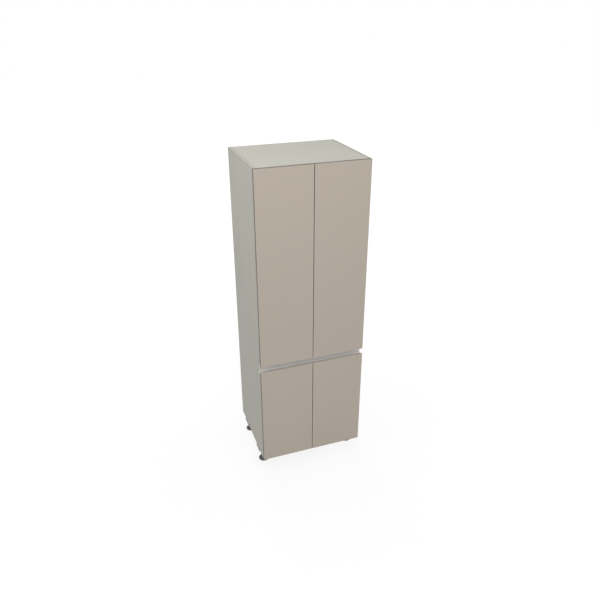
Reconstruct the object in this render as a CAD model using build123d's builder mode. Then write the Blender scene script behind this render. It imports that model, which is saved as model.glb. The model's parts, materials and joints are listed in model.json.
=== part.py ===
from build123d import *
from math import atan2
from math import degrees
from math import hypot
import os

# Tall utility cabinet with two pairs of doors, all sizes in millimetres.
# X runs from left to right, Y from the door fronts to the back, Z up from the floor.
# The origin is on the floor, at the middle of the cabinet's width and depth.
# In the hinge and leg sizes, u is the distance in from a side panel's outer face,
# and v is the distance back from the front edges of the carcass.

# Carcass
carcass_width = 762.0
carcass_depth = 609.6
carcass_height = 2176.0
leg_height = 110.0
board = 18.0
edge_break = 0.6
back_panel_thickness = 8.0
back_groove_depth = 8.0
back_groove_fit = 0.2
rail_height = 100.0

# Doors
door_thickness = 19.0
door_back_gap = 2.0
door_side_reveal = 1.5
door_centre_gap = 3.0
door_top_reveal = 1.0
door_bottom_reveal = 3.0
finger_gap = 45.0
handle_height = 792.5
door_edge_radius = 1.0
bumper_diameter = 8.0
bumper_thickness = 1.7
bumper_inset = 14.0

# Handle channel, an aluminium section across the front between the two pairs of doors
channel_height = 76.0
channel_depth = 28.2
channel_wall = 1.6
channel_corner = 12.0
channel_bead = 1.5
channel_fit = 0.3
notch_depth = 38.0
notch_corner = 3.0
track_height = 45.2
track_opening = 32.0
track_depth = 5.4

# Brackets that hold the channel under the fixed shelf
bracket_width = 40.0
bracket_thickness = 3.0
bracket_length = 46.0
bracket_fit = 0.4
bracket_spacing = 280.0
bracket_screw_setback = 30.0
fixed_shelf_setback = 40.0

# Adjustable shelves
shelf_setback = 20.0
shelf_side_gap = 1.0
shelf_back_gap = 1.5
upper_shelf_count = 4
lower_shelf_count = 1
shelf_pin_diameter = 5.0
shelf_pin_fit = 0.1
shelf_pin_hole_depth = 10.0
shelf_pin_length = 9.5
shelf_pin_front = 60.0
shelf_pin_back = 90.0
shelf_pad_length = 9.0
shelf_pad_width = 8.0
shelf_pad_thickness = 1.4
spare_hole_pitch = 32.0

# Cam joints and dowels in the ends of the boards
cam_diameter = 15.0
cam_depth = 12.5
cam_fit = 0.15
cam_distance = 34.0
cam_bolt_diameter = 6.0
cam_bolt_head_diameter = 7.0
cam_bolt_head_length = 3.0
cam_bolt_grip = 9.5
cam_bore_diameter = 8.0
cam_front = 66.0
cam_back = 110.0
dowel_diameter = 8.0
dowel_length = 30.0
dowel_grip = 10.0
dowel_fit = 0.1
dowel_offset = 64.0
rail_dowel_inset = 20.0

# Wall fixing holes in the top back rail
wall_hole_diameter = 8.0
wall_hole_spacing = 600.0

# Screws for sockets and brackets
screw_diameter = 3.5
screw_head_diameter = 7.5
screw_head_height = 2.4
screw_grip = 11.0
screw_fit = 0.1

# Legs
foot_inset = 38.0
foot_front = 128.5
foot_back = 103.3
foot_diameter = 76.0
foot_rim = 6.5
foot_dome = 18.5
foot_crown = 7.8
grip_notches = 12
grip_notch_radius = 4.0
grip_notch_depth = 1.6
stem_diameter = 37.0
stem_fit = 0.3
stem_top_gap = 20.0
stem_bore_gap = 4.0
socket_offset = 21.0
socket_width = 75.0
socket_length = 93.0
socket_height = 21.0
socket_corner = 8.0
socket_flange = 3.0
socket_rib_pitch = 14.0
socket_rib_gap = 9.0
socket_rib_depth = 2.2
socket_rib_margin = 3.5
collar_diameter = 75.0
collar_height = 17.0
collar_end_diameter = 48.0
socket_screw_inset = 8.0
socket_screw_spacing = 24.0
socket_screw_recess = 9.6

# Concealed hinges
hinge_from_top = 101.0
hinge_from_handle = 122.5
hinge_from_bottom = 103.0
cup_diameter = 35.0
cup_bore_depth = 12.5
cup_edge_distance = 5.0
cup_fit = 0.1
cup_floor = 1.0
cup_wall = 0.8
cup_flange_thickness = 1.0
cup_flange_height = 57.0
cup_flange_width = 11.0
cup_screw_spacing = 45.0
cup_screw_offset = 9.5
cup_screw_diameter = 3.5
cup_screw_head = 6.5
cup_screw_depth = 10.0
pocket_height = 12.4
pin_fit = 0.06
long_link_width = 5.2
short_link_thickness = 2.0
short_link_centre = 4.2
arm_wall = 1.5
arm_inner_width = 11.4
arm_web = 1.7
plate_thickness = 1.5
plate_height = 48.0
plate_wing_width = 14.0
plate_screw_spacing = 32.0
plate_screw_setback = 37.0
plate_screw_diameter = 5.0
plate_screw_head = 8.0
plate_screw_depth = 11.0
rail_width = 10.8
rail_thickness = 7.0
arm_start = 26.0
arm_end = 72.0
arm_screw_setbacks = (45.0, 60.0)
arm_screw_diameter = 4.0
arm_screw_head = 7.0
arm_screw_grip = 4.0

# Pivots on the hinge arm, from the inner face of the side panel and the carcass front
long_arm_pivot = (23.9, 12.4)
short_arm_pivot = (26.1, 1.7)

# Pivots in the cup, from its middle and from the back face of the door
long_cup_pivot = (-13.9, -2.35)
short_cup_pivot = (-10.0, -3.0)
pivot_diameter = 2.4
short_pivot_diameter = 2.2
pin_half_length = 8.2
long_link_bar = 3.8
long_link_hub = 6.8
long_link_eye = 4.8
short_link_bar = 3.8
short_link_hub = 5.0
cradle_slide = 2.9
cradle_drift = 1.1
cradle_wall = 1.4

# Places worked out from the sizes above
half_width = carcass_width / 2
inner_half = half_width - board
front_y = -(carcass_depth + door_back_gap + door_thickness) / 2
door_back_y = front_y + door_thickness
carcass_front_y = door_back_y + door_back_gap
carcass_back_y = carcass_front_y + carcass_depth
base_z = leg_height
top_z = base_z + carcass_height
handle_z = base_z + handle_height
door_width = half_width - door_side_reveal - door_centre_gap / 2
rail_front = carcass_depth - board
back_panel_front = rail_front - back_panel_thickness
shelf_top_z = handle_z + board / 2
shelf_bottom_z = handle_z - board / 2

# Plane on the outer face of the left side, with X backwards and Y upwards
side_plane = Plane(
    origin=(-half_width, carcass_front_y, base_z), x_dir=(0, 1, 0), z_dir=(1, 0, 0)
)
inner_side_plane = side_plane.offset(board)

# Heights of the adjustable shelves, with equal clear spaces
upper_space = carcass_height - board - (handle_height + board / 2)
upper_pitch = (upper_space + board) / (upper_shelf_count + 1)
lower_space = (handle_height - board / 2) - board
lower_pitch = (lower_space + board) / (lower_shelf_count + 1)
shelf_heights = [board + lower_pitch * (n + 1) - board for n in range(lower_shelf_count)]
for step in range(upper_shelf_count):
    shelf_heights.append(handle_height + board / 2 + upper_pitch * (step + 1) - board)
pin_setbacks = (shelf_pin_front, carcass_depth - shelf_pin_back)
pin_spots = []
for height in shelf_heights:
    for setback in pin_setbacks:
        pin_spots.append((setback, height - shelf_pad_thickness - shelf_pin_diameter / 2))

# Joint places along the ends of the boards that stand between the sides
board_heights = (board / 2, handle_height, carcass_height - board / 2)
cam_setbacks = (cam_front, carcass_depth - cam_back)
dowel_setbacks = (cam_front + dowel_offset, carcass_depth - cam_back - dowel_offset)
cam_spots = []
board_dowel_spots = []
for height in board_heights:
    for setback in cam_setbacks:
        cam_spots.append((setback, height))
    for setback in dowel_setbacks:
        board_dowel_spots.append((setback, height))
rail_bottoms = (
    board,
    handle_height - rail_height / 2,
    carcass_height - board - rail_height,
)
rail_dowel_spots = []
for height in rail_bottoms:
    rail_dowel_spots.append((carcass_depth - board / 2, height + rail_dowel_inset))
    rail_dowel_spots.append((carcass_depth - board / 2, height + rail_height - rail_dowel_inset))
dowel_spots = board_dowel_spots + rail_dowel_spots
upper_first_hinge = handle_height + hinge_from_handle
upper_last_hinge = carcass_height - hinge_from_top
upper_middle_hinge = (upper_first_hinge + upper_last_hinge) / 2
upper_hinge_heights = (upper_first_hinge, upper_middle_hinge, upper_last_hinge)
lower_hinge_heights = (hinge_from_bottom, handle_height - hinge_from_handle)
hinge_heights = lower_hinge_heights + upper_hinge_heights
plate_spots = []
for height in hinge_heights:
    plate_spots.append((plate_screw_setback, height - plate_screw_spacing / 2))
    plate_spots.append((plate_screw_setback, height + plate_screw_spacing / 2))

# Places of the screws in the leg sockets
socket_centres = (
    (foot_inset, foot_front + socket_offset),
    (foot_inset, carcass_depth - foot_back - socket_offset),
)
socket_screw_x = socket_width / 2 - socket_screw_inset
socket_screw_y = socket_length / 2 - socket_screw_inset
socket_screw_places_y = (socket_screw_y - socket_screw_spacing, socket_screw_y)
socket_screw_spots = []
for (inset, setback), way in zip(socket_centres, (1, -1)):
    for side_x in (-socket_screw_x, socket_screw_x):
        for side_y in socket_screw_places_y:
            socket_screw_spots.append((inset + side_x, setback + way * side_y))

# Left side panel with its notch, groove and borings
with BuildPart() as left_side_panel:
    with BuildSketch(side_plane):
        Rectangle(carcass_depth, carcass_height, align=(Align.MIN, Align.MIN))
        with BuildSketch(mode=Mode.SUBTRACT) as notch:
            with Locations((0, handle_height)):
                Rectangle(
                    notch_depth,
                    channel_height + 2 * channel_fit,
                    align=(Align.MIN, Align.CENTER),
                )
            fillet(notch.vertices().group_by(Axis.X)[-1], notch_corner)
    extrude(amount=board)
    chamfer(left_side_panel.edges().filter_by(Axis.Z).group_by(Axis.Y)[0], edge_break)
    chamfer(left_side_panel.edges().filter_by(Axis.Y).group_by(Axis.Z)[-1], edge_break)
    with BuildSketch(inner_side_plane):
        with Locations((back_panel_front - back_groove_fit, board - back_groove_depth)):
            Rectangle(
                back_panel_thickness + 2 * back_groove_fit,
                carcass_height - 2 * board + 2 * back_groove_depth,
                align=(Align.MIN, Align.MIN),
            )
    extrude(amount=-back_groove_depth, mode=Mode.SUBTRACT)
    with BuildSketch(inner_side_plane):
        with Locations(*pin_spots):
            Circle(shelf_pin_diameter / 2 + shelf_pin_fit)
            with Locations((0, spare_hole_pitch), (0, -spare_hole_pitch)):
                Circle(shelf_pin_diameter / 2 + shelf_pin_fit)
    extrude(amount=-shelf_pin_hole_depth, mode=Mode.SUBTRACT)
    with BuildSketch(inner_side_plane):
        with Locations(*cam_spots):
            Circle(cam_bolt_diameter / 2 + screw_fit)
    extrude(amount=-cam_bolt_grip - 0.3, mode=Mode.SUBTRACT)
    with BuildSketch(inner_side_plane):
        with Locations(*dowel_spots):
            Circle(dowel_diameter / 2 + dowel_fit)
    extrude(amount=-dowel_grip - 0.3, mode=Mode.SUBTRACT)
    with BuildSketch(inner_side_plane):
        with Locations(*plate_spots):
            Circle(plate_screw_diameter / 2 + screw_fit)
    extrude(amount=-plate_screw_depth, mode=Mode.SUBTRACT)
    with BuildSketch(Plane(origin=(-half_width, carcass_front_y, base_z))):
        with Locations(*socket_screw_spots):
            Circle(screw_diameter / 2 + screw_fit)
    extrude(amount=screw_grip + 0.5, mode=Mode.SUBTRACT)
left_side_panel.part.label = "left_side_panel"

with BuildPart() as right_side_panel:
    mirror(left_side_panel.part, about=Plane.YZ)
right_side_panel.part.label = "right_side_panel"


def end_joints(height, cam_face, cam_direction):
    """Borings in the left end of a board whose middle is at this height."""
    end_plane = Plane(
        origin=(-inner_half, carcass_front_y, height), x_dir=(0, 1, 0), z_dir=(1, 0, 0)
    )
    cam_spots_here = [(setback, 0) for setback in cam_setbacks]
    dowel_spots_here = [(setback, 0) for setback in dowel_setbacks]
    with BuildPart() as borings:
        with BuildSketch(end_plane):
            with Locations(*cam_spots_here):
                Circle(cam_bore_diameter / 2)
        extrude(amount=cam_distance)
        with BuildSketch(end_plane):
            with Locations(*dowel_spots_here):
                Circle(dowel_diameter / 2 + dowel_fit)
        extrude(amount=dowel_length - dowel_grip + 0.3)
        cam_plane = Plane(
            origin=(-inner_half, carcass_front_y, cam_face),
            x_dir=(1, 0, 0),
            z_dir=(0, 0, cam_direction),
        )
        with BuildSketch(cam_plane):
            with Locations(*[(cam_distance, setback * cam_direction) for setback in cam_setbacks]):
                Circle(cam_diameter / 2 + cam_fit)
        extrude(amount=-cam_depth - 0.3)
    return borings.part


def lying_board(front, back, bottom, cam_face, cam_direction):
    """Board between the sides, with the borings for its cams and dowels."""
    with BuildPart() as board_part:
        with Locations((0, carcass_front_y + front, bottom)):
            Box(
                2 * inner_half,
                back - front,
                board,
                align=(Align.CENTER, Align.MIN, Align.MIN),
            )
        chamfer(
            board_part.edges().filter_by(Axis.X).group_by(Axis.Y)[0],
            edge_break,
        )
        borings = end_joints(bottom + board / 2, cam_face, cam_direction)
        add(borings, mode=Mode.SUBTRACT)
        add(mirror(borings, about=Plane.YZ, mode=Mode.PRIVATE), mode=Mode.SUBTRACT)
    return board_part.part


# Bottom panel
with BuildPart() as bottom_panel:
    add(lying_board(0, carcass_depth, base_z, base_z, -1))
    with Locations((0, carcass_front_y + back_panel_front - back_groove_fit, base_z + board)):
        Box(
            2 * inner_half,
            back_panel_thickness + 2 * back_groove_fit,
            back_groove_depth,
            align=(Align.CENTER, Align.MIN, Align.MAX),
            mode=Mode.SUBTRACT,
        )
    for side in (-1, 1):
        with Locations(
            *[
                (side * (half_width - inset), carcass_front_y + setback, base_z)
                for inset, setback in socket_screw_spots
            ]
        ):
            Cylinder(
                screw_diameter / 2 + screw_fit,
                screw_grip + 0.5,
                align=(Align.CENTER, Align.CENTER, Align.MIN),
                mode=Mode.SUBTRACT,
            )
bottom_panel.part.label = "bottom_panel"

# Top panel
with BuildPart() as top_panel:
    add(lying_board(0, carcass_depth, top_z - board, top_z - board, -1))
    chamfer(top_panel.edges().filter_by(Axis.Y).group_by(Axis.Z)[-1], edge_break)
    with Locations((0, carcass_front_y + back_panel_front - back_groove_fit, top_z - board)):
        Box(
            2 * inner_half,
            back_panel_thickness + 2 * back_groove_fit,
            back_groove_depth,
            align=(Align.CENTER, Align.MIN, Align.MIN),
            mode=Mode.SUBTRACT,
        )
top_panel.part.label = "top_panel"

# Fixed shelf behind the handle channel
bracket_places = (-bracket_spacing, 0, bracket_spacing)
bracket_back = channel_depth + bracket_fit + bracket_length
bracket_screw_place = bracket_back - bracket_screw_setback / 2
with BuildPart() as fixed_shelf:
    add(
        lying_board(
            fixed_shelf_setback,
            back_panel_front - shelf_back_gap,
            shelf_bottom_z,
            shelf_bottom_z,
            -1,
        )
    )
    with Locations(
        *[(x, carcass_front_y + bracket_screw_place, shelf_bottom_z) for x in bracket_places]
    ):
        Cylinder(
            screw_diameter / 2 + screw_fit,
            screw_grip + 0.5,
            align=(Align.CENTER, Align.CENTER, Align.MIN),
            mode=Mode.SUBTRACT,
        )
fixed_shelf.part.label = "fixed_shelf"

# Back panel, held in grooves all round
wall_hole_plane = Plane(
    origin=(0, carcass_back_y, top_z - board - rail_height / 2),
    x_dir=(1, 0, 0),
    z_dir=(0, -1, 0),
)
with BuildPart() as back_panel:
    with Locations((0, carcass_front_y + back_panel_front, base_z + board - back_groove_depth + 0.3)):
        Box(
            2 * (inner_half + back_groove_depth - 0.3),
            back_panel_thickness,
            carcass_height - 2 * board + 2 * back_groove_depth - 0.6,
            align=(Align.CENTER, Align.MIN, Align.MIN),
        )
    with BuildSketch(wall_hole_plane):
        with GridLocations(wall_hole_spacing, 0, 2, 1):
            Circle(wall_hole_diameter / 2)
    extrude(amount=board + back_panel_thickness, mode=Mode.SUBTRACT)
back_panel.part.label = "back_panel"

# Three rails behind the back panel
rails = {}
rail_names = ("back_rail_bottom", "back_rail_middle", "back_rail_top")
for name, bottom in zip(rail_names, rail_bottoms):
    with BuildPart() as rail:
        with Locations((0, carcass_back_y - board, base_z + bottom)):
            Box(
                2 * inner_half,
                board,
                rail_height,
                align=(Align.CENTER, Align.MIN, Align.MIN),
            )
        rail_plane = Plane(
            origin=(-inner_half, carcass_back_y - board / 2, base_z + bottom),
            x_dir=(0, 1, 0),
            z_dir=(1, 0, 0),
        )
        with BuildSketch(rail_plane, rail_plane.offset(2 * inner_half - dowel_length + dowel_grip - 0.3)):
            with Locations((0, rail_dowel_inset), (0, rail_height - rail_dowel_inset)):
                Circle(dowel_diameter / 2 + dowel_fit)
        extrude(amount=dowel_length - dowel_grip + 0.3, mode=Mode.SUBTRACT)
        if name == "back_rail_top":
            with BuildSketch(wall_hole_plane):
                with GridLocations(wall_hole_spacing, 0, 2, 1):
                    Circle(wall_hole_diameter / 2)
            extrude(amount=board, mode=Mode.SUBTRACT)
    rail.part.label = name
    rails[name] = rail.part

# Adjustable shelves on their pins
shelves = []
for number, height in enumerate(shelf_heights, start=1):
    with BuildPart() as shelf:
        with Locations((0, carcass_front_y + shelf_setback, base_z + height)):
            Box(
                2 * (inner_half - shelf_side_gap),
                back_panel_front - shelf_back_gap - shelf_setback,
                board,
                align=(Align.CENTER, Align.MIN, Align.MIN),
            )
        chamfer(shelf.edges().filter_by(Axis.X).group_by(Axis.Y)[0], edge_break)
    shelf.part.label = f"shelf_{number}"
    shelves.append(shelf.part)

with BuildPart() as left_shelf_pins:
    with BuildSketch(inner_side_plane.offset(shelf_pin_length - shelf_pin_hole_depth)):
        with Locations(*pin_spots):
            Circle(shelf_pin_diameter / 2)
    extrude(amount=-shelf_pin_length)
    with BuildSketch(inner_side_plane.offset(shelf_pin_length - shelf_pin_hole_depth)):
        with Locations(*pin_spots):
            Circle(shelf_pin_diameter / 2)
    extrude(amount=shelf_pad_length)
    with BuildSketch(inner_side_plane.offset(0.2)):
        with Locations(*[(v, z) for v, z in pin_spots]):
            Rectangle(
                shelf_pad_width,
                shelf_pad_thickness + shelf_pin_diameter / 2,
                align=(Align.CENTER, Align.MIN),
            )
    extrude(amount=shelf_pad_length - 0.5)
with BuildPart() as shelf_pins:
    add(left_shelf_pins.part)
    mirror(left_shelf_pins.part, about=Plane.YZ)
shelf_pins.part.label = "shelf_pins"

# Handle channel, open to the front and at both ends
channel_plane = Plane(
    origin=(-half_width, carcass_front_y, handle_z), x_dir=(0, 1, 0), z_dir=(1, 0, 0)
)
track_back = channel_depth + track_depth
with BuildPart() as handle_channel:
    with BuildSketch(channel_plane):
        with BuildSketch() as channel_outside:
            Rectangle(channel_depth, channel_height, align=(Align.MIN, Align.CENTER))
            fillet(channel_outside.vertices().group_by(Axis.X)[-1], channel_corner)
        with BuildSketch(mode=Mode.SUBTRACT) as channel_inside:
            Rectangle(
                channel_depth - channel_wall,
                channel_height - 2 * channel_wall,
                align=(Align.MIN, Align.CENTER),
            )
            fillet(
                channel_inside.vertices().group_by(Axis.X)[-1],
                channel_corner - channel_wall,
            )
        bead_height = channel_height / 2 - channel_bead
        with Locations((channel_bead, bead_height), (channel_bead, -bead_height)):
            Circle(channel_bead)
        for edge in (-1, 1):
            with Locations((channel_depth - channel_wall / 2, edge * track_height / 2)):
                Rectangle(
                    track_depth + channel_wall / 2,
                    channel_wall,
                    align=(Align.MIN, Align.MAX if edge > 0 else Align.MIN),
                )
            with Locations((track_back, edge * track_height / 2)):
                Rectangle(
                    channel_wall,
                    (track_height - track_opening) / 2,
                    align=(Align.MAX, Align.MAX if edge > 0 else Align.MIN),
                )
    extrude(amount=carcass_width)
handle_channel.part.label = "handle_channel"

# Brackets in the channel's rear track, screwed under the fixed shelf
bracket_front = channel_depth + bracket_fit
bracket_plate_height = track_height - 2 * channel_wall - 2 * bracket_fit
with BuildPart() as channel_brackets:
    for x in bracket_places:
        with Locations((x, carcass_front_y + bracket_front, handle_z)):
            Box(
                bracket_width,
                bracket_thickness,
                bracket_plate_height,
                align=(Align.CENTER, Align.MIN, Align.CENTER),
            )
        with Locations((x, carcass_front_y + bracket_front, shelf_bottom_z)):
            Box(
                bracket_width,
                bracket_length,
                bracket_thickness,
                align=(Align.CENTER, Align.MIN, Align.MAX),
            )
        with Locations((x, carcass_front_y + bracket_screw_place, shelf_bottom_z)):
            Cylinder(
                screw_diameter / 2 + 2 * screw_fit,
                bracket_thickness,
                align=(Align.CENTER, Align.CENTER, Align.MAX),
                mode=Mode.SUBTRACT,
            )
channel_brackets.part.label = "channel_brackets"


# Pan head screw pointing up, with the seat of its head at its origin
with BuildPart() as pan_screw:
    with BuildSketch(Plane.XZ):
        with BuildLine():
            Polyline(
                (0, screw_grip),
                (0, -screw_head_height),
                (screw_head_diameter / 4, -screw_head_height),
            )
            Line(
                (screw_head_diameter / 4, -screw_head_height),
                (screw_head_diameter / 2, -screw_head_height / 2),
            )
            Polyline(
                (screw_head_diameter / 2, -screw_head_height / 2),
                (screw_head_diameter / 2, 0),
                (screw_diameter / 2, 0),
                (screw_diameter / 2, screw_grip - 2),
                (0, screw_grip),
            )
        make_face()
    revolve(axis=Axis.Z)

socket_screw_places = []
for side in (-1, 1):
    for inset, setback in socket_screw_spots:
        socket_screw_places.append(
            (side * (half_width - inset), carcass_front_y + setback, base_z - socket_flange)
        )
bracket_screw_places = []
for x in bracket_places:
    bracket_screw_places.append(
        (x, carcass_front_y + bracket_screw_place, shelf_bottom_z - bracket_thickness)
    )
with BuildPart() as panel_screws:
    with Locations(*socket_screw_places, *bracket_screw_places):
        add(pan_screw.part)
panel_screws.part.label = "panel_screws"

# Cam locks, cam bolts and dowels
cam_boards = (base_z, shelf_bottom_z, top_z - board)
cam_body_height = cam_depth
with BuildPart() as cam_lock:
    Cylinder(
        cam_diameter / 2,
        cam_body_height,
        align=(Align.CENTER, Align.CENTER, Align.MIN),
    )
    with Locations((0, 0, board / 2)):
        Cylinder(
            cam_bore_diameter / 2,
            cam_diameter,
            rotation=(0, -90, 0),
            align=(Align.CENTER, Align.CENTER, Align.MIN),
            mode=Mode.SUBTRACT,
        )
    with Locations((0, 0, 0)):
        Box(1.4, 8.0, 2.0, mode=Mode.SUBTRACT)
        Box(8.0, 1.4, 2.0, mode=Mode.SUBTRACT)
with BuildPart() as left_cams:
    for bottom in cam_boards:
        with Locations(
            *[(-inner_half + cam_distance, carcass_front_y + v, bottom) for v in cam_setbacks]
        ):
            add(cam_lock.part)
with BuildPart() as cam_locks:
    add(left_cams.part)
    mirror(left_cams.part, about=Plane.YZ)
cam_locks.part.label = "cam_locks"

cam_bolt_end = cam_distance - 1.0
with BuildPart() as left_bolts:
    with BuildSketch(inner_side_plane.offset(-cam_bolt_grip)):
        with Locations(*cam_spots):
            Circle(cam_bolt_diameter / 2)
    extrude(amount=cam_bolt_grip + cam_bolt_end)
    with BuildSketch(inner_side_plane.offset(cam_bolt_end - cam_bolt_head_length)):
        with Locations(*cam_spots):
            Circle(cam_bolt_head_diameter / 2)
    extrude(amount=cam_bolt_head_length)
with BuildPart() as cam_bolts:
    add(left_bolts.part)
    mirror(left_bolts.part, about=Plane.YZ)
cam_bolts.part.label = "cam_bolts"

with BuildPart() as left_dowels:
    with BuildSketch(inner_side_plane.offset(-dowel_grip)):
        with Locations(*dowel_spots):
            Circle(dowel_diameter / 2)
    extrude(amount=dowel_length)
with BuildPart() as dowels:
    add(left_dowels.part)
    mirror(left_dowels.part, about=Plane.YZ)
dowels.part.label = "dowels"

# Leg sockets, ribbed blocks with a collar round the stem at one end
socket_bottom = base_z - socket_height
collar_bottom = socket_bottom - collar_height
socket_rib_count = int((socket_length - 2 * socket_corner) // socket_rib_pitch)
socket_screw_grid = []
for side_x in (-socket_screw_x, socket_screw_x):
    for side_y in socket_screw_places_y:
        socket_screw_grid.append((side_x, socket_offset + side_y))
with BuildPart() as front_socket:
    with BuildSketch(Plane.XY.offset(socket_bottom)):
        with Locations((0, socket_offset)):
            RectangleRounded(socket_width, socket_length, socket_corner)
    extrude(amount=socket_height)
    for side in (-1, 1):
        with Locations((side * socket_width / 2, socket_offset, base_z - socket_height / 2)):
            with GridLocations(1, socket_rib_pitch, 1, socket_rib_count):
                Box(
                    2 * socket_rib_depth,
                    socket_rib_gap,
                    socket_height - 2 * socket_rib_margin,
                    mode=Mode.SUBTRACT,
                )
    with BuildSketch(Plane.XY.offset(socket_bottom + 0.01)):
        Circle(collar_diameter / 2)
    with BuildSketch(Plane.XY.offset(collar_bottom)):
        Circle(collar_end_diameter / 2)
    loft()
    with BuildSketch(Plane.XY.offset(collar_bottom)):
        Circle(stem_diameter / 2 + stem_fit)
    extrude(amount=socket_height + collar_height - stem_bore_gap, mode=Mode.SUBTRACT)
    with BuildSketch(Plane.XY.offset(socket_bottom)):
        with Locations(*socket_screw_grid):
            Circle(socket_screw_recess / 2)
    extrude(amount=socket_height - socket_flange, mode=Mode.SUBTRACT)
    with BuildSketch(Plane.XY.offset(socket_bottom)):
        with Locations(*socket_screw_grid):
            Circle(screw_diameter / 2 + 2 * screw_fit)
    extrude(amount=socket_height, mode=Mode.SUBTRACT)
foot_front_y = carcass_front_y + foot_front
foot_back_y = carcass_back_y - foot_back
foot_x = half_width - foot_inset
back_socket = mirror(front_socket.part, about=Plane.XZ)
with BuildPart() as leg_sockets:
    with Locations((-foot_x, foot_front_y), (foot_x, foot_front_y)):
        add(front_socket.part)
    with Locations((-foot_x, foot_back_y), (foot_x, foot_back_y)):
        add(back_socket)
leg_sockets.part.label = "leg_sockets"

# Adjustable feet
stem_radius = stem_diameter / 2
foot_radius = foot_diameter / 2
with BuildPart() as foot:
    with BuildSketch(Plane.XZ):
        with BuildLine():
            Polyline(
                (0, leg_height - stem_top_gap),
                (0, 0),
                (foot_radius - 1, 0),
                (foot_radius, 1),
                (foot_radius, foot_rim - 1),
                (foot_radius - 1.5, foot_rim),
            )
            ThreePointArc(
                (foot_radius - 1.5, foot_rim),
                ((foot_radius + stem_radius) / 2, foot_rim + foot_crown),
                (stem_radius, foot_dome),
            )
            Polyline(
                (stem_radius, foot_dome),
                (stem_radius, leg_height - stem_top_gap - 1),
                (stem_radius - 1, leg_height - stem_top_gap),
                (0, leg_height - stem_top_gap),
            )
        make_face()
    revolve(axis=Axis.Z)
    with BuildSketch():
        with PolarLocations(foot_radius + grip_notch_radius - grip_notch_depth, grip_notches):
            Circle(grip_notch_radius)
    extrude(amount=foot_dome, mode=Mode.SUBTRACT)
foot_places = {
    "foot_front_left": (-foot_x, foot_front_y),
    "foot_front_right": (foot_x, foot_front_y),
    "foot_back_left": (-foot_x, foot_back_y),
    "foot_back_right": (foot_x, foot_back_y),
}
feet = {}
for name, place in foot_places.items():
    with BuildPart() as placed_foot:
        with Locations(place):
            add(foot.part)
    placed_foot.part.label = name
    feet[name] = placed_foot.part


# Concealed hinges, each drawn at the left side with the door closed
cup_u = door_side_reveal + cup_edge_distance + cup_diameter / 2
cup_radius = cup_diameter / 2 - cup_fit
pocket_radius = cup_radius - cup_wall
door_back_v = -door_back_gap
flange_v = door_back_v + cup_flange_thickness
long_arm = (board + long_arm_pivot[0], long_arm_pivot[1])
short_arm = (board + short_arm_pivot[0], short_arm_pivot[1])
long_cup = (cup_u + long_cup_pivot[0], door_back_v + long_cup_pivot[1])
short_cup = (cup_u + short_cup_pivot[0], door_back_v + short_cup_pivot[1])
pin_radius = pivot_diameter / 2
short_pin_radius = short_pivot_diameter / 2


def bar(points, width):
    """Round ended bar through the points, in the sketch that is open."""
    for start, end in zip(points, points[1:]):
        run = (end[0] - start[0], end[1] - start[1])
        middle = ((start[0] + end[0]) / 2, (start[1] + end[1]) / 2)
        with Locations(middle):
            SlotCenterToCenter(hypot(*run), width, rotation=degrees(atan2(run[1], run[0])))


# Long link, bent like a swan's neck round the front edge of the side panel
long_path = (
    long_arm,
    (board + 4.5, 1.0),
    (board + 2.6, -4.0),
    (cup_u - 7.5, door_back_v - 7.2),
    (cup_u - 12.5, door_back_v - 5.5),
    long_cup,
)
with BuildPart() as long_link:
    with BuildSketch(Plane.XY.offset(-long_link_width / 2)):
        bar(long_path, long_link_bar)
        with Locations(long_arm):
            Circle(long_link_hub / 2)
        with Locations(long_cup):
            Circle(long_link_eye / 2)
        with Locations(long_arm, long_cup):
            Circle(pin_radius + pin_fit, mode=Mode.SUBTRACT)
    extrude(amount=long_link_width)

# Short link, two plates that guide the cup, each with an open cradle for its pin
cradle_u = short_cup[0] + 0.5
cradle_floor = short_cup[1] - cradle_slide
short_path = (
    short_arm,
    (cup_u + 10.5, door_back_v + 2.0),
    (cup_u + 6.5, door_back_v - 2.0),
    (cup_u + 2.0, door_back_v - 6.6),
    (cup_u - 5.0, cradle_floor - short_link_bar / 2 + 0.2),
    (cradle_u, cradle_floor - short_link_bar / 2 + 0.2),
)
cradle_width = short_pivot_diameter + cradle_drift + 2 * pin_fit
with BuildPart() as short_link:
    for layer in (-short_link_centre, short_link_centre):
        with BuildSketch(Plane.XY.offset(layer - short_link_thickness / 2)):
            bar(short_path, short_link_bar)
            with Locations(short_arm):
                Circle(short_link_hub / 2)
            with Locations((cradle_u, cradle_floor - short_link_bar / 2)):
                Rectangle(
                    cradle_width + 2 * cradle_wall,
                    short_link_bar / 2 + cradle_slide - 0.5,
                    align=(Align.CENTER, Align.MIN),
                )
            with Locations((cradle_u, cradle_floor - pin_fit)):
                Rectangle(
                    cradle_width,
                    2 * cradle_slide,
                    align=(Align.CENTER, Align.MIN),
                    mode=Mode.SUBTRACT,
                )
            with Locations(short_arm):
                Circle(short_pin_radius + pin_fit, mode=Mode.SUBTRACT)
        extrude(amount=short_link_thickness)

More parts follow.
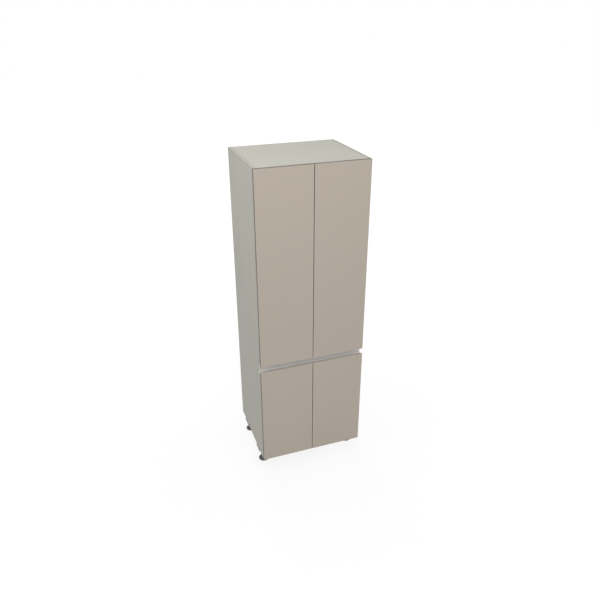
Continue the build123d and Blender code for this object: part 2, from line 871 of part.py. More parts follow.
# Hinge arm, a channel that sits over the rail of the mounting plate
rail_u = board + plate_thickness
web_u = rail_u + rail_thickness
arm_top_u = web_u + arm_web
arm_half = arm_inner_width / 2 + arm_wall
with BuildPart() as hinge_arm:
    for wall in (-1, 1):
        with BuildSketch(Plane.XY.offset(wall * (arm_half - arm_wall / 2) - arm_wall / 2)):
            with Locations((rail_u + 0.5, arm_start)):
                Rectangle(
                    arm_top_u - rail_u - 0.5,
                    arm_end - arm_start,
                    align=(Align.MIN, Align.MIN),
                )
            with BuildLine():
                Polyline(
                    (arm_top_u, arm_start + 16),
                    (rail_u + 0.5, arm_start),
                    (long_arm[0] - 4.0, long_arm[1] - 2.0),
                    (short_arm[0] - 2.4, short_arm[1] - 1.0),
                    (short_arm[0] + 2.4, short_arm[1] - 1.0),
                    (long_arm[0] + 5.0, long_arm[1] + 2.0),
                    close=True,
                )
            make_face()
            with Locations(short_arm):
                Circle(2.6)
            with Locations(long_arm):
                Circle(4.4)
                Circle(pin_radius + pin_fit, mode=Mode.SUBTRACT)
            with Locations(short_arm):
                Circle(short_pin_radius + pin_fit, mode=Mode.SUBTRACT)
        extrude(amount=arm_wall)
    with Locations((web_u, arm_start + 10, 0)):
        Box(
            arm_web,
            arm_end - arm_start - 10,
            2 * arm_half,
            align=(Align.MIN, Align.MIN, Align.CENTER),
        )
    with Locations(*[(web_u, setback, 0) for setback in arm_screw_setbacks]):
        Cylinder(
            arm_screw_diameter / 2 + screw_fit,
            arm_web,
            rotation=(0, 90, 0),
            align=(Align.CENTER, Align.CENTER, Align.MIN),
            mode=Mode.SUBTRACT,
        )

# Mounting plate with its wings and rail
with BuildPart() as hinge_plate:
    with BuildSketch(Plane.YZ.offset(board)):
        with Locations((plate_screw_setback, 0)):
            RectangleRounded(plate_wing_width, plate_height, plate_wing_width / 2 - 1)
        with Locations((plate_screw_setback - plate_wing_width / 2, 0)):
            Rectangle(
                arm_end - plate_screw_setback + plate_wing_width / 2,
                2 * arm_half,
                align=(Align.MIN, Align.CENTER),
            )
    extrude(amount=plate_thickness)
    with Locations((rail_u, plate_screw_setback - plate_wing_width / 2, 0)):
        Box(
            rail_thickness,
            arm_end - plate_screw_setback + plate_wing_width / 2 - 2,
            rail_width,
            align=(Align.MIN, Align.MIN, Align.CENTER),
        )
    with BuildSketch(Plane.YZ.offset(board)):
        with Locations(
            (plate_screw_setback, plate_screw_spacing / 2),
            (plate_screw_setback, -plate_screw_spacing / 2),
        ):
            Circle(plate_screw_diameter / 2 + screw_fit)
    extrude(amount=plate_thickness, mode=Mode.SUBTRACT)
    with Locations(*[(web_u, setback, 0) for setback in arm_screw_setbacks]):
        Cylinder(
            arm_screw_diameter / 2 + screw_fit,
            arm_screw_grip + 1,
            rotation=(0, 90, 0),
            align=(Align.CENTER, Align.CENTER, Align.MAX),
            mode=Mode.SUBTRACT,
        )

# Fixing screws of the plate and of the arm
with BuildPart() as hinge_screw_set:
    plate_screw_length = plate_screw_depth - 0.3
    with BuildSketch(Plane.YZ.offset(board - plate_screw_length)):
        with Locations(
            (plate_screw_setback, plate_screw_spacing / 2),
            (plate_screw_setback, -plate_screw_spacing / 2),
        ):
            Circle(plate_screw_diameter / 2)
    extrude(amount=plate_screw_length + plate_thickness)
    with BuildSketch(Plane.YZ.offset(rail_u)):
        with Locations(
            (plate_screw_setback, plate_screw_spacing / 2),
            (plate_screw_setback, -plate_screw_spacing / 2),
        ):
            Circle(plate_screw_head / 2)
    extrude(amount=2.0)
    with BuildSketch(Plane.YZ.offset(web_u - arm_screw_grip)):
        with Locations(*[(setback, 0) for setback in arm_screw_setbacks]):
            Circle(arm_screw_diameter / 2)
    extrude(amount=arm_screw_grip + arm_web)
    with BuildSketch(Plane.YZ.offset(arm_top_u)):
        with Locations(*[(setback, 0) for setback in arm_screw_setbacks]):
            Circle(arm_screw_head / 2)
    extrude(amount=1.6)

# Pins in the arm, the long one through both walls and two short ones in the walls
with BuildPart() as arm_pin_set:
    with BuildSketch(Plane.XY.offset(-arm_half - 0.2)):
        with Locations(long_arm):
            Circle(pin_radius)
    extrude(amount=2 * arm_half + 0.4)
    stub_start = short_link_centre - short_link_thickness / 2 - 0.2
    for start in (stub_start, -arm_half - 0.2):
        with BuildSketch(Plane.XY.offset(start)):
            with Locations(short_arm):
                Circle(short_pin_radius)
        extrude(amount=arm_half + 0.2 - stub_start)

# Pins in the cup
with BuildPart() as cup_pin_set:
    with BuildSketch(Plane.XY.offset(-pin_half_length)):
        with Locations(long_cup):
            Circle(pin_radius)
    extrude(amount=2 * pin_half_length)
    for start in (stub_start, -pin_half_length):
        with BuildSketch(Plane.XY.offset(start)):
            with Locations(short_cup):
                Circle(short_pin_radius)
        extrude(amount=pin_half_length - stub_start)

# Cup with its flange and pocket
cup_plane = Plane(origin=(0, door_back_v, 0), x_dir=(1, 0, 0), z_dir=(0, -1, 0))
cup_depth = cup_bore_depth - 2 * cup_fit
cup_screw_points = (
    (cup_u + cup_screw_offset, cup_screw_spacing / 2),
    (cup_u + cup_screw_offset, -cup_screw_spacing / 2),
)
with BuildPart() as hinge_cup:
    with BuildSketch(cup_plane):
        with Locations((cup_u, 0)):
            Circle(cup_radius)
    extrude(amount=cup_depth)
    with BuildSketch(cup_plane):
        with Locations((cup_u, 0)):
            Circle(cup_radius + 0.7)
        with Locations((cup_u + cup_screw_offset, 0)):
            RectangleRounded(cup_flange_width, cup_flange_height, cup_flange_width / 2 - 0.5)
        with Locations(*cup_screw_points):
            Circle(screw_diameter / 2 + 2 * screw_fit, mode=Mode.SUBTRACT)
    extrude(amount=-cup_flange_thickness)
    with BuildSketch(cup_plane.offset(-cup_flange_thickness)):
        with Locations((cup_u, 0)):
            Circle(pocket_radius)
            Rectangle(2 * cup_radius, pocket_height, mode=Mode.INTERSECT)
    extrude(amount=cup_flange_thickness + cup_depth - cup_floor, mode=Mode.SUBTRACT)
    add(cup_pin_set.part, mode=Mode.SUBTRACT)


def hinge_spots(heights):
    """Places of the left hinges at these heights above the carcass base."""
    return [(-half_width, carcass_front_y, base_z + height) for height in heights]


hinge_sets = {
    "hinge_arms": hinge_arm.part,
    "hinge_plates": hinge_plate.part,
    "hinge_screws": hinge_screw_set.part,
    "hinge_arm_pins": arm_pin_set.part,
}
carcass_hinges = {}
for name, unit in hinge_sets.items():
    with BuildPart() as left_set:
        with Locations(*hinge_spots(hinge_heights)):
            add(unit)
    with BuildPart() as both_sets:
        add(left_set.part)
        mirror(left_set.part, about=Plane.YZ)
    both_sets.part.label = name
    carcass_hinges[name] = both_sets.part

# Doors with what they carry, the right ones mirrored from the left ones
door_rows = (
    (
        "lower",
        door_bottom_reveal,
        handle_height - finger_gap / 2,
        lower_hinge_heights,
        (board / 2, handle_height - channel_height / 2 + channel_bead),
    ),
    (
        "upper",
        handle_height + finger_gap / 2,
        carcass_height - door_top_reveal,
        upper_hinge_heights,
        (carcass_height - board / 2, handle_height + channel_height / 2 - channel_bead),
    ),
)
door_parts = {}
for row, bottom, top, heights, bumper_heights in door_rows:
    door_plane = Plane(
        origin=(-half_width, door_back_y, base_z), x_dir=(1, 0, 0), z_dir=(0, -1, 0)
    )
    door_screw_points = []
    for height in heights:
        for u, offset_z in cup_screw_points:
            door_screw_points.append((u, height + offset_z))
    with BuildPart() as door:
        with Locations((-half_width + door_side_reveal, front_y, base_z + bottom)):
            Box(
                door_width,
                door_thickness,
                top - bottom,
                align=(Align.MIN, Align.MIN, Align.MIN),
            )
        fillet(door.edges(), door_edge_radius)
        with BuildSketch(door_plane):
            with Locations(*[(cup_u, height) for height in heights]):
                Circle(cup_diameter / 2)
        extrude(amount=cup_bore_depth, mode=Mode.SUBTRACT)
        with BuildSketch(door_plane):
            with Locations(*door_screw_points):
                Circle(screw_diameter / 2 + screw_fit)
        extrude(amount=screw_grip, mode=Mode.SUBTRACT)
    with BuildPart() as cup_screws:
        for u, height in door_screw_points:
            with Locations(
                Location(
                    (-half_width + u, carcass_front_y + flange_v, base_z + height), (90, 0, 0)
                )
            ):
                add(pan_screw.part)
    with BuildPart() as bumpers:
        with BuildSketch(door_plane):
            with Locations(
                *[(half_width - door_centre_gap / 2 - bumper_inset, h) for h in bumper_heights]
            ):
                Circle(bumper_diameter / 2)
        extrude(amount=-bumper_thickness)
    spots = hinge_spots(heights)
    with BuildPart() as cups:
        with Locations(*spots):
            add(hinge_cup.part)
    with BuildPart() as cup_pins:
        with Locations(*spots):
            add(cup_pin_set.part)
    with BuildPart() as long_links:
        with Locations(*spots):
            add(long_link.part)
    with BuildPart() as short_links:
        with Locations(*spots):
            add(short_link.part)
    door_parts[f"{row}_left_door"] = door.part
    door_parts[f"{row}_left_hinge_cups"] = cups.part
    door_parts[f"{row}_left_cup_screws"] = cup_screws.part
    door_parts[f"{row}_left_cup_pins"] = cup_pins.part
    door_parts[f"{row}_left_bumpers"] = bumpers.part
    door_parts[f"{row}_left_long_links"] = long_links.part
    door_parts[f"{row}_left_short_links"] = short_links.part
for name in list(door_parts):
    mirrored_name = name.replace("left", "right")
    with BuildPart() as mirrored:
        mirror(door_parts[name], about=Plane.YZ)
    door_parts[mirrored_name] = mirrored.part
for name, shape in door_parts.items():
    shape.label = name

# One file for each piece or group of like pieces
os.makedirs("parts", exist_ok=True)
export_step(left_side_panel.part, "parts/left_side_panel.step")
export_step(right_side_panel.part, "parts/right_side_panel.step")
export_step(bottom_panel.part, "parts/bottom_panel.step")
export_step(top_panel.part, "parts/top_panel.step")
export_step(fixed_shelf.part, "parts/fixed_shelf.step")
export_step(back_panel.part, "parts/back_panel.step")
export_step(shelf_pins.part, "parts/shelf_pins.step")
export_step(handle_channel.part, "parts/handle_channel.step")
export_step(channel_brackets.part, "parts/channel_brackets.step")
export_step(panel_screws.part, "parts/panel_screws.step")
export_step(cam_locks.part, "parts/cam_locks.step")
export_step(cam_bolts.part, "parts/cam_bolts.step")
export_step(dowels.part, "parts/dowels.step")
export_step(leg_sockets.part, "parts/leg_sockets.step")
for shape in shelves:
    export_step(shape, f"parts/{shape.label}.step")
for group in (rails, feet, carcass_hinges, door_parts):
    for name, shape in group.items():
        export_step(shape, f"parts/{name}.step")
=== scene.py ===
import json
import math

import bmesh
import bpy
from mathutils import Euler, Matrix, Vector


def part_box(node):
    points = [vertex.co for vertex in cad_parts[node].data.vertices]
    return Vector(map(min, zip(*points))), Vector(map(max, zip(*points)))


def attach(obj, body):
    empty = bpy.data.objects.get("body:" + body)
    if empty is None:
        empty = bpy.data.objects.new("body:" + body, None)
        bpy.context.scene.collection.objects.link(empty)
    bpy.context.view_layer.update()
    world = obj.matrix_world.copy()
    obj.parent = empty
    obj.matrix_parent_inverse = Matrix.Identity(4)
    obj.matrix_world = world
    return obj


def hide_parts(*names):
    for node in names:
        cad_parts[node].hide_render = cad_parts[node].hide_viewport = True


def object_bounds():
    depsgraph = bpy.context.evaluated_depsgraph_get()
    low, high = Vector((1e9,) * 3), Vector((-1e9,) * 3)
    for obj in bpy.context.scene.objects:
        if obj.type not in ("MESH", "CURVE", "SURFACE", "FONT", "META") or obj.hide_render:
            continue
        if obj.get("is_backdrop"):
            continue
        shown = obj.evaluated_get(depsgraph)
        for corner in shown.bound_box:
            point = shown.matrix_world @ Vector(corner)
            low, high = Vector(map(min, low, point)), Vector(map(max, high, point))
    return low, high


# Tall utility cabinet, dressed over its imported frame. Metres, floor at z = 0, fronts face -Y.


class Wire:
    # a node's socket that sums like a number, each sum adding a Math node
    def __init__(self, tree, socket):
        self.tree = tree
        self.socket = socket

    def combine(self, operation, first, second, clamp=False):
        settings = {"operation": operation, "use_clamp": clamp}
        return self.tree.add("ShaderNodeMath", settings, {0: first, 1: second})

    def __add__(self, other):
        return self.combine("ADD", self, other)

    def __radd__(self, other):
        return self.combine("ADD", other, self)

    def __sub__(self, other):
        return self.combine("SUBTRACT", self, other)

    def __rsub__(self, other):
        return self.combine("SUBTRACT", other, self)

    def __mul__(self, other):
        return self.combine("MULTIPLY", self, other)

    def __rmul__(self, other):
        return self.combine("MULTIPLY", other, self)

    def __lt__(self, other):
        return self.combine("LESS_THAN", self, other)

    def __gt__(self, other):
        return self.combine("GREATER_THAN", self, other)

    def __abs__(self):
        return self.combine("MAXIMUM", self, self * -1.0)

    def clamped(self):
        return self.combine("ADD", self, 0.0, clamp=True)


# Sockets, by number, of a Mix node that blends colours.
mixFactor, mixFirst, mixSecond, mixResult = 0, 6, 7, 2


class Tree:
    # the nodes of a material or of the world, all added by one method
    def __init__(self, nodeTree):
        self.nodeTree = nodeTree

    def add(self, kind, settings=None, values=None, output=0):
        made = self.nodeTree.nodes.new(kind)
        for name, value in (settings or {}).items():
            setattr(made, name, value)
        for key, value in (values or {}).items():
            if isinstance(value, Wire):
                self.nodeTree.links.new(value.socket, made.inputs[key])
            else:
                made.inputs[key].default_value = value
        return Wire(self, made.outputs[output])

    def other(self, wire, output):
        # another output of the node that the wire comes from
        return Wire(self, wire.socket.node.outputs[output])

    def feed(self, nodeName, socketName, wire):
        self.nodeTree.links.new(wire.socket, self.nodeTree.nodes[nodeName].inputs[socketName])

    def lookedAt(self):
        # 1 where the camera, a mirror or glass looks, 0 where light is gathered
        rays = self.add("ShaderNodeLightPath", output="Is Camera Ray")
        seen = rays + self.other(rays, "Is Glossy Ray")
        return (seen + self.other(rays, "Is Transmission Ray")).clamped()


class Paint(Tree):
    # a material on a Principled shader, its even values set on the shader itself
    def __init__(self, name, **evenValues):
        self.material = bpy.data.materials.new(name)
        self.material.use_nodes = True
        super().__init__(self.material.node_tree)
        self.shader = self.nodeTree.nodes["Principled BSDF"]
        for socketName, value in evenValues.items():
            self.shader.inputs[socketName.replace("_", " ")].default_value = value
        self.place = self.add("ShaderNodeTexCoord", output="Object")

    def axes(self):
        first = self.add("ShaderNodeSeparateXYZ", values={0: self.place})
        return first, self.other(first, 1), self.other(first, 2)

    def noise(self, scale, detail=2.0, stretch=(1, 1, 1)):
        spread = self.add("ShaderNodeMapping", values={"Vector": self.place, "Scale": stretch})
        return self.add(
            "ShaderNodeTexNoise", values={"Vector": spread, "Scale": scale, "Detail": detail}
        )

    def blend(self, factor, first, second):
        values = {mixFactor: factor, mixFirst: first, mixSecond: second}
        return self.add("ShaderNodeMix", {"data_type": "RGBA"}, values, output=mixResult)

    def dress(self, colour=None, roughness=None, height=None, depth=0.0001, strength=0.2):
        # the varying sockets of the shader
        if colour:
            self.feed("Principled BSDF", "Base Color", colour)
        if roughness:
            self.feed("Principled BSDF", "Roughness", roughness)
        if height:
            values = {"Height": height, "Strength": strength, "Distance": depth}
            self.feed("Principled BSDF", "Normal", self.add("ShaderNodeBump", values=values))


def stretchAlong(axis, share):
    # a noise's scale that draws it out along one axis
    return tuple(share if place == axis else 1 for place in range(3))


def screenColour(red, green, blue):
    # a colour as read on a screen, 0 to 255, as the linear colour that a shader takes
    def linear(level):
        level = level / 255
        return level / 12.92 if level <= 0.04045 else ((level + 0.055) / 1.055) ** 2.4

    return (linear(red), linear(green), linear(blue), 1.0)


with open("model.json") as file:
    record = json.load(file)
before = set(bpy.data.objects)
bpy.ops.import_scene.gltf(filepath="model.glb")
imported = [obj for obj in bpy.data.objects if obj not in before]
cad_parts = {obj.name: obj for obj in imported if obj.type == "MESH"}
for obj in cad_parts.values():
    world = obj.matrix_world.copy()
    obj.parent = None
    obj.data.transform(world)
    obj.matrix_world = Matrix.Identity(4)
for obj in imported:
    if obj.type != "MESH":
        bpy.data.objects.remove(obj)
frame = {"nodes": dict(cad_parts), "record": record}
caseLow, caseHigh = (list(corner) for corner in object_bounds())
print("frame loaded,", len(frame["nodes"]), "nodes")

# Melamine faced board: pale, faintly streaked along its length, with painted shade on top: dark
# lines in the seam between top and sides and along the sides' outer edge.
boardLook = {
    "colour": screenColour(198, 196, 185),
    "streakColour": screenColour(190, 189, 179),
    # painted shade: dark lines on the top, in the seam and along the outer edge
    "seamShadeColour": screenColour(72, 71, 67),
    "edgeShadeColour": screenColour(80, 79, 75),
    "seamShadeWidth": 0.0012,
    "edgeShadeWidth": 0.0018,
    "topSkin": 0.0008,
    "roughness": 0.6,
    "roughnessSpread": 0.1,
    "specular": 0.2,
    "streakScale": 55.0,
    "streakStretch": 0.05,
    "streakShare": 1.1,
    "streakRelief": 0.4,
    "cloudScale": 3.2,
    "cloudStretch": 0.4,
    "cloudShare": 0.9,
    "gritScale": 1400.0,
    "gritShare": 0.3,
    "streakLevel": 0.45,
    "reliefDepth": 0.00012,
    "reliefStrength": 0.1,
}


def boardPaint(name, look, grainAxis, lineFrom):
    paint = Paint(name, Roughness=look["roughness"], Specular_IOR_Level=look["specular"])
    x, y, z = paint.axes()
    streakStretch = stretchAlong(grainAxis, look["streakStretch"])
    cloudStretch = stretchAlong(grainAxis, look["cloudStretch"])
    streak = paint.noise(look["streakScale"], detail=4.0, stretch=streakStretch)
    cloud = paint.noise(look["cloudScale"], detail=2.0, stretch=cloudStretch)
    grit = paint.noise(look["gritScale"], detail=1.0)
    tone = (streak - 0.5) * look["streakShare"] + (cloud - 0.5) * look["cloudShare"]
    tone = tone + (grit - 0.5) * look["gritShare"] + look["streakLevel"]
    colour = paint.blend(tone.clamped(), look["colour"], look["streakColour"])
    across = abs(x)
    onTop = z > caseHigh[2] - look["topSkin"]
    seamPlace, rimPlace = lineFrom
    # painted shade: the seam between top and side panels drawn as a dark line
    seamShade = (abs(across - seamPlace) < look["seamShadeWidth"]) * onTop
    colour = paint.blend(seamShade, colour, look["seamShadeColour"])
    # painted shade: a dark line along the outer edge of the side panels' tops
    edgeShade = (across > rimPlace - look["edgeShadeWidth"]) * onTop
    colour = paint.blend(edgeShade, colour, look["edgeShadeColour"])
    roughness = (grit - 0.5) * look["roughnessSpread"] + look["roughness"]
    relief = grit + streak * look["streakRelief"]
    paint.dress(colour, roughness, relief, look["reliefDepth"], look["reliefStrength"])
    return paint.material


# Door laminate: even and satin. Its edges are a darker band deepened into painted shade, and
# painted light makes them paler at the grip, where the finger gap shades them.
doorLook = {
    "colour": screenColour(192, 182, 170),
    "warmer": screenColour(190, 179, 166),
    # a darker edge band, deepened into painted shade along the door edges
    "edgeBandShadeColour": screenColour(100, 93, 85),
    "bandFrom": 0.00004,
    # painted light on the door edges in the grip gap, against the gap's shade
    "gripPaintedLightColour": screenColour(190, 182, 172),
    "gripPaintedLightMargin": 0.0007,
    "roughness": 0.46,
    "roughnessSpread": 0.08,
    "specular": 0.3,
    "cloudScale": 1.6,
    "gritScale": 1800.0,
    "gritShare": 0.5,
    "reliefDepth": 0.0001,
    "reliefStrength": 0.08,
}


def doorPaint(name, look, lowerBox, upperBox):
    paint = Paint(name, Roughness=look["roughness"], Specular_IOR_Level=look["specular"])
    x, y, z = paint.axes()
    cloud = paint.noise(look["cloudScale"], detail=1.0)
    grit = paint.noise(look["gritScale"], detail=1.0)
    tone = (cloud + (grit - 0.5) * look["gritShare"]).clamped()
    colour = paint.blend(tone, look["colour"], look["warmer"])
    frontAt, backAt = upperBox[0].y, upperBox[1].y
    # the door edges painted dark: a darker edge band deepened into painted shade
    band = (y > frontAt + look["bandFrom"]) * (y < backAt - look["bandFrom"])
    colour = paint.blend(band, colour, look["edgeBandShadeColour"])
    # painted light: the edges at the grip painted paler, lifting the shade of the finger gap
    paintedLightLow, paintedLightHigh = lowerBox[1].z - look["gripPaintedLightMargin"], upperBox[0].z + look["gripPaintedLightMargin"]
    colour = paint.blend(band * (z > paintedLightLow) * (z < paintedLightHigh), colour, look["gripPaintedLightColour"])
    roughness = (grit - 0.5) * look["roughnessSpread"] + look["roughness"]
    paint.dress(colour, roughness, grit, look["reliefDepth"], look["reliefStrength"])
    return paint.material


# Drawn and plated metals: the first is drawn along X.
metalLook = {
    "satinAluminium": {
        "colour": screenColour(233, 231, 228),
        "shine": 0.3,
        "roughness": 0.42,
        "grainScale": 700.0,
        "grainStretch": 0.02,
    },
    "zincPlate": {
        "colour": screenColour(196, 198, 200),
        "shine": 0.7,
        "roughness": 0.36,
        "grainScale": 1600.0,
        "grainStretch": 1,
    },
    "nickelPlate": {
        "colour": screenColour(206, 204, 199),
        "shine": 0.7,
        "roughness": 0.3,
        "grainScale": 1600.0,
        "grainStretch": 1,
    },
    "darkening": 0.92,
    "darkFrom": 0.1,
    "grainShare": 0.7,
    "grainRoughness": 0.1,
    "smearScale": 24.0,
    "smearShare": 0.5,
    "smearRoughness": 0.08,
    "reliefDepth": 0.00004,
    "reliefStrength": 0.06,
}


def metalPaint(name, look):
    metal = look[name]
    colour = metal["colour"]
    paint = Paint(name, Metallic=metal["shine"], Roughness=metal["roughness"])
    grainStretch = stretchAlong(0, metal["grainStretch"])
    grain = paint.noise(metal["grainScale"], detail=2.0, stretch=grainStretch)
    smear = paint.noise(look["smearScale"], detail=3.0)
    darker = tuple(part * look["darkening"] for part in colour[:3]) + (1.0,)
    mixture = grain * look["grainShare"] + smear * look["smearShare"] - look["darkFrom"]
    tone = paint.blend(mixture.clamped(), colour, darker)
    roughness = (grain - 0.5) * look["grainRoughness"] + (smear - 0.5) * look["smearRoughness"]
    roughness = roughness + metal["roughness"]
    paint.dress(tone, roughness, grain, look["reliefDepth"], look["reliefStrength"])
    return paint.material


# Moulded plastic and rubber, and the beech of the dowels, which has its grain along X.
mouldedLook = {
    "legPlastic": {
        "colour": screenColour(92, 90, 87),
        "roughness": 0.5,
        "grainScale": 900.0,
        "grainStretch": 1,
        "dusting": 1.35,
    },
    "beechDowel": {
        "colour": screenColour(198, 164, 122),
        "roughness": 0.7,
        "grainScale": 300.0,
        "grainStretch": 0.1,
        "dusting": 1.15,
    },
    "clearRubber": {
        "colour": screenColour(208, 208, 202),
        "roughness": 0.3,
        "grainScale": 900.0,
        "grainStretch": 1,
        "dusting": 1.1,
    },
    "specular": 0.4,
    "dustScale": 45.0,
    "dustShare": 0.9,
    "dustFrom": 0.1,
    "dustRoughness": 0.15,
    "grainShare": 0.6,
    "grainRoughness": 0.2,
    "reliefDepth": 0.00015,
    "reliefStrength": 0.25,
}


def mouldedPaint(name, look):
    stuff = look[name]
    colour = stuff["colour"]
    paint = Paint(name, Roughness=stuff["roughness"], Specular_IOR_Level=look["specular"])
    grainStretch = stretchAlong(0, stuff["grainStretch"])
    grain = paint.noise(stuff["grainScale"], detail=2.0, stretch=grainStretch)
    dust = paint.noise(look["dustScale"], detail=3.0)
    paler = tuple(part * stuff["dusting"] for part in colour[:3]) + (1.0,)
    mixture = dust * look["dustShare"] + (grain - 0.5) * look["grainShare"] - look["dustFrom"]
    tone = paint.blend(mixture.clamped(), colour, paler)
    roughness = (grain - 0.5) * look["grainRoughness"] + (dust - 0.5) * look["dustRoughness"]
    roughness = roughness + stuff["roughness"]
    paint.dress(tone, roughness, grain, look["reliefDepth"], look["reliefStrength"])
    return paint.material


# Lying boards have their grain along X, upright ones along Z.
lineFrom = (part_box("top_panel")[1].x, caseHigh[0])
lyingBoard = boardPaint("boardLying", boardLook, 0, lineFrom)
uprightBoard = boardPaint("boardUpright", boardLook, 2, lineFrom)
doorLaminate = doorPaint(
    "doorLaminate", doorLook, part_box("lower_left_door"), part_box("upper_left_door")
)
finishes = {
    "board": lyingBoard,
    "door_front": doorLaminate,
    "aluminium_profile": metalPaint("satinAluminium", metalLook),
    "zinc_steel": metalPaint("zincPlate", metalLook),
    "nickel_steel": metalPaint("nickelPlate", metalLook),
    "dark_plastic": mouldedPaint("legPlastic", mouldedLook),
    "beech": mouldedPaint("beechDowel", mouldedLook),
    "clear_rubber": mouldedPaint("clearRubber", mouldedLook),
}
slotOf = {entry["node"]: entry["material_slot"] for entry in frame["record"]["subparts"]}


def finishOf(nodeName):
    if nodeName.endswith("_side_panel") or nodeName == "back_panel":
        return uprightBoard
    return finishes[slotOf[nodeName]]


for nodeName, nodeObject in frame["nodes"].items():
    if not nodeObject.material_slots:
        nodeObject.data.materials.append(finishOf(nodeName))
    for materialSlot in nodeObject.material_slots:
        materialSlot.material = finishOf(nodeName)
print("finishes on all nodes")


# How meshes are cleaned and shaded.
shapingLook = {"mergeDistance": 0.000002, "smoothAngle": 32}


def beginShaping(piece, kind="FACE"):
    # edit mode on the piece, nothing picked yet
    bpy.ops.object.select_all(action="DESELECT")
    piece.select_set(True)
    bpy.context.view_layer.objects.active = piece
    bpy.ops.object.mode_set(mode="EDIT")
    bpy.ops.mesh.select_mode(type=kind)
    bpy.ops.mesh.select_all(action="DESELECT")


def endShaping():
    bpy.ops.mesh.select_all(action="SELECT")
    bpy.ops.mesh.remove_doubles(threshold=shapingLook["mergeDistance"])
    bpy.ops.mesh.normals_make_consistent(inside=False)
    bpy.ops.object.mode_set(mode="OBJECT")


def pickCorners(test):
    mesh = bmesh.from_edit_mesh(bpy.context.object.data)
    for corner in mesh.verts:
        corner.select_set(test(corner.co))
    mesh.select_flush_mode()
    bmesh.update_edit_mesh(bpy.context.object.data)


def pickFaces(test):
    mesh = bmesh.from_edit_mesh(bpy.context.object.data)
    for face in mesh.faces:
        face.select_set(test(face.calc_center_median(), face.normal))
    bmesh.update_edit_mesh(bpy.context.object.data)


def settle(piece):
    # place, turn and size go into the mesh
    bpy.ops.object.select_all(action="DESELECT")
    piece.select_set(True)
    bpy.context.view_layer.objects.active = piece
    bpy.ops.object.transform_apply(location=True, rotation=True, scale=True)


def turnUp(name, rings, sides):
    # a turned solid about Z: a disc, then each next ring (radius, height) drawn up from the last
    radius, height = rings[0]
    bpy.ops.object.select_all(action="DESELECT")
    bpy.ops.mesh.primitive_circle_add(
        vertices=sides, radius=radius, fill_type="NGON", location=(0, 0, height)
    )
    piece = bpy.context.object
    piece.name = name
    settle(piece)
    beginShaping(piece)
    bpy.ops.mesh.select_all(action="SELECT")
    for nextRadius, nextHeight in rings[1:]:
        rise = (0, 0, nextHeight - height)
        bpy.ops.mesh.extrude_region_move(TRANSFORM_OT_translate={"value": rise})
        shrink = nextRadius / radius
        bpy.ops.transform.resize(value=(shrink, shrink, 1), center_override=(0, 0, nextHeight))
        radius, height = nextRadius, nextHeight
    endShaping()
    return piece


def copyTo(piece, name, place, turn=(0, 0, 0)):
    copied = piece.copy()
    copied.data = piece.data.copy()
    copied.name = name
    bpy.context.collection.objects.link(copied)
    copied.location = place
    copied.rotation_euler = Euler(turn)
    settle(copied)
    return copied


def joinUp(name, members):
    bpy.ops.object.select_all(action="DESELECT")
    for member in members:
        member.select_set(True)
    bpy.context.view_layer.objects.active = members[0]
    bpy.ops.object.join()
    joined = bpy.context.object
    joined.name = name
    bpy.ops.object.shade_smooth_by_angle(angle=math.radians(shapingLook["smoothAngle"]))
    return joined


def carve(piece, cutter):
    # takes the cutter's shape out of the piece
    cut = piece.modifiers.new("recess", "BOOLEAN")
    cut.object = cutter
    cut.operation = "DIFFERENCE"
    cut.solver = "EXACT"
    bpy.ops.object.select_all(action="DESELECT")
    piece.select_set(True)
    bpy.context.view_layer.objects.active = piece
    bpy.ops.object.modifier_apply(modifier=cut.name)


def finishPiece(piece, slotName, body, nodeName):
    piece.data.materials.clear()
    piece.data.materials.append(finishes[slotName])
    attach(piece, body)
    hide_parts(nodeName)


def solidBoxes(nodeName):
    # box of each solid of a CAD node, read from a merged copy of its mesh
    mesh = bmesh.new()
    mesh.from_mesh(frame["nodes"][nodeName].data)
    bmesh.ops.remove_doubles(mesh, verts=mesh.verts, dist=shapingLook["mergeDistance"])
    waiting = set(mesh.verts)
    boxes = []
    while waiting:
        edge = [waiting.pop()]
        solid = []
        while edge:
            corner = edge.pop()
            solid.append(corner.co.copy())
            for link in corner.link_edges:
                neighbour = link.other_vert(corner)
                if neighbour in waiting:
                    waiting.remove(neighbour)
                    edge.append(neighbour)
        low = Vector([min(point[k] for point in solid) for k in range(3)])
        high = Vector([max(point[k] for point in solid) for k in range(3)])
        boxes.append((low, high))
    mesh.free()
    return boxes


# Levelling feet: a scalloped disc with grip ribs on its dome, and a threaded stem.
footLook = {
    "discRadius": 0.038,
    "discHeight": 0.0065,
    "domeHeight": 0.0185,
    "domeBulge": 0.002856,
    "domeSteps": 8,
    "neckGap": 0.0006,
    "edgeRound": 0.001,
    "edgeInset": 1.5,
    "hollowShare": 0.6,
    "hollowLip": 0.62,
    "hollowDepth": 0.0012,
    "scallops": 12,
    "sidesPerScallop": 8,
    "scallopDepth": 0.0016,
    "scallopReach": 2.1,
    "ribHeight": 0.0005,
    "ribMargin": 0.002,
    "ribFacing": 0.2,
    "stemRadius": 0.0185,
    "stemTop": 0.09,
    "stemSink": 0.004,
    "threadPitch": 0.005,
    "threadDepth": 0.0011,
    "threadSteps": 48,
    "threadMerge": 0.00001,
    "rootShare": 0.3,
    "flankShare": 0.18,
    "crestShare": 0.34,
    "capInset": 0.9,
}


